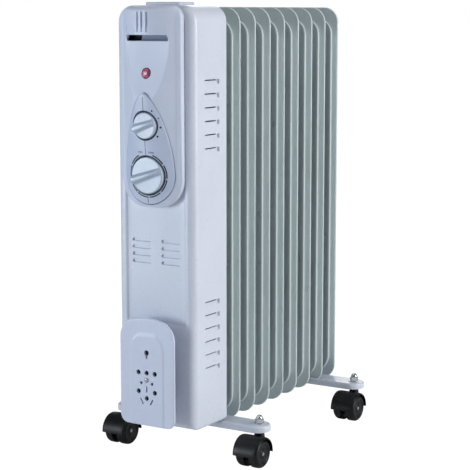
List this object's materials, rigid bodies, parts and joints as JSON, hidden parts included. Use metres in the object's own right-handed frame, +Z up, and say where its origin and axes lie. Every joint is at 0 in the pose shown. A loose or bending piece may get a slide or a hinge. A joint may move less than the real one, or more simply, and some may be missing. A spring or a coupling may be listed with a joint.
{
  "type": "oil filled radiator heater",
  "caption": "Oil filled column radiator with a row of pressed fins, a front control casing with dials, grip slot and plug holder, and low brackets on swivel casters.",
  "frame": {"origin": "middle of the footprint, on the floor that the wheels stand on", "axes": "+Z up, control panel faces -Y, fins stand in a row towards +Y, +X is the user's right when facing the panel"},
  "size_m": [0.258, 0.4324, 0.6278],
  "materials": {
    "fin_enamel": "semi-gloss powder coat",
    "casing_enamel": "satin powder coat",
    "panel_plastic": "semi-gloss, fine moulded grain",
    "dial_plastic": "semi-gloss",
    "knob_plastic": "semi-gloss",
    "lens_red": "glossy, translucent",
    "caster_black": "satin black",
    "chrome": "polished",
    "zinc_steel": "zinc plated",
    "bakelite": "moulded",
    "ceramic": "stands for steatite"
  },
  "bodies": {
    "radiator": {"oil_element_1": "fin_enamel", "oil_element_2": "fin_enamel", "oil_element_3": "fin_enamel", "oil_element_4": "fin_enamel", "oil_element_5": "fin_enamel", "oil_element_6": "fin_enamel", "oil_element_7": "fin_enamel", "oil_element_8": "fin_enamel", "oil_element_9": "fin_enamel", "control_casing": "casing_enamel", "control_panel": "panel_plastic", "dial_plate": "dial_plastic", "indicator_lens": "lens_red", "indicator_lamp": "bakelite", "top_cover": "panel_plastic", "plug_holder": "panel_plastic", "plug_holder_screw": "zinc_steel", "foot_bracket_front": "casing_enamel", "foot_bracket_rear": "casing_enamel", "clamp_bolt_front": "zinc_steel", "clamp_bolt_rear": "zinc_steel", "clamp_nut_front_left": "zinc_steel", "clamp_nut_front_right": "zinc_steel", "clamp_nut_rear_left": "zinc_steel", "clamp_nut_rear_right": "zinc_steel", "caster_front_left_stem": "zinc_steel", "caster_front_left_nut": "chrome", "caster_front_right_stem": "zinc_steel", "caster_front_right_nut": "chrome", "caster_rear_left_stem": "zinc_steel", "caster_rear_left_nut": "chrome", "caster_rear_right_stem": "zinc_steel", "caster_rear_right_nut": "chrome", "mounting_plate": "zinc_steel", "rotary_switch": "bakelite", "thermostat_body": "bakelite", "thermal_cutout": "bakelite", "terminal_block": "ceramic", "heating_element": "zinc_steel", "cord_gland": "caster_black"},
    "selector": {"selector_knob": "knob_plastic", "selector_shaft": "zinc_steel"},
    "thermostat": {"thermostat_knob": "knob_plastic", "thermostat_shaft": "zinc_steel"},
    "caster_front_left": {"caster_front_left_hood": "caster_black", "caster_front_left_axle": "zinc_steel"},
    "caster_front_left_wheel_left": {"caster_front_left_wheel_left": "caster_black"},
    "caster_front_left_wheel_right": {"caster_front_left_wheel_right": "caster_black"},
    "caster_front_right": {"caster_front_right_hood": "caster_black", "caster_front_right_axle": "zinc_steel"},
    "caster_front_right_wheel_left": {"caster_front_right_wheel_left": "caster_black"},
    "caster_front_right_wheel_right": {"caster_front_right_wheel_right": "caster_black"},
    "caster_rear_left": {"caster_rear_left_hood": "caster_black", "caster_rear_left_axle": "zinc_steel"},
    "caster_rear_left_wheel_left": {"caster_rear_left_wheel_left": "caster_black"},
    "caster_rear_left_wheel_right": {"caster_rear_left_wheel_right": "caster_black"},
    "caster_rear_right": {"caster_rear_right_hood": "caster_black", "caster_rear_right_axle": "zinc_steel"},
    "caster_rear_right_wheel_left": {"caster_rear_right_wheel_left": "caster_black"},
    "caster_rear_right_wheel_right": {"caster_rear_right_wheel_right": "caster_black"}
  },
  "joints": [
    {"name": "selector_turn", "type": "hinge", "parent": "radiator", "child": "selector", "pos_m": [0, -0.20797, 0.4675], "axis": [0, 1, 0], "range_deg": [-31, 63]},
    {"name": "thermostat_turn", "type": "hinge", "parent": "radiator", "child": "thermostat", "pos_m": [0, -0.20244, 0.4015], "axis": [0, 1, 0], "range_deg": [-60, 210]},
    {"name": "caster_front_left_swivel", "type": "hinge", "parent": "radiator", "child": "caster_front_left", "pos_m": [-0.11, -0.09768, 0.0472], "axis": [0, 0, 1], "continuous": true},
    {"name": "caster_front_left_wheel_left_spin", "type": "hinge", "parent": "caster_front_left", "child": "caster_front_left_wheel_left", "pos_m": [-0.11, -0.11518, 0.02], "axis": [1, 0, 0], "continuous": true},
    {"name": "caster_front_left_wheel_right_spin", "type": "hinge", "parent": "caster_front_left", "child": "caster_front_left_wheel_right", "pos_m": [-0.11, -0.11518, 0.02], "axis": [1, 0, 0], "continuous": true},
    {"name": "caster_front_right_swivel", "type": "hinge", "parent": "radiator", "child": "caster_front_right", "pos_m": [0.11, -0.09768, 0.0472], "axis": [0, 0, 1], "continuous": true},
    {"name": "caster_front_right_wheel_left_spin", "type": "hinge", "parent": "caster_front_right", "child": "caster_front_right_wheel_left", "pos_m": [0.11, -0.11518, 0.02], "axis": [1, 0, 0], "continuous": true},
    {"name": "caster_front_right_wheel_right_spin", "type": "hinge", "parent": "caster_front_right", "child": "caster_front_right_wheel_right", "pos_m": [0.11, -0.11518, 0.02], "axis": [1, 0, 0], "continuous": true},
    {"name": "caster_rear_left_swivel", "type": "hinge", "parent": "radiator", "child": "caster_rear_left", "pos_m": [-0.11, 0.18442, 0.0472], "axis": [0, 0, 1], "continuous": true},
    {"name": "caster_rear_left_wheel_left_spin", "type": "hinge", "parent": "caster_rear_left", "child": "caster_rear_left_wheel_left", "pos_m": [-0.11, 0.16692, 0.02], "axis": [1, 0, 0], "continuous": true},
    {"name": "caster_rear_left_wheel_right_spin", "type": "hinge", "parent": "caster_rear_left", "child": "caster_rear_left_wheel_right", "pos_m": [-0.11, 0.16692, 0.02], "axis": [1, 0, 0], "continuous": true},
    {"name": "caster_rear_right_swivel", "type": "hinge", "parent": "radiator", "child": "caster_rear_right", "pos_m": [0.11, 0.18442, 0.0472], "axis": [0, 0, 1], "continuous": true},
    {"name": "caster_rear_right_wheel_left_spin", "type": "hinge", "parent": "caster_rear_right", "child": "caster_rear_right_wheel_left", "pos_m": [0.11, 0.16692, 0.02], "axis": [1, 0, 0], "continuous": true},
    {"name": "caster_rear_right_wheel_right_spin", "type": "hinge", "parent": "caster_rear_right", "child": "caster_rear_right_wheel_right", "pos_m": [0.11, 0.16692, 0.02], "axis": [1, 0, 0], "continuous": true}
  ]
}
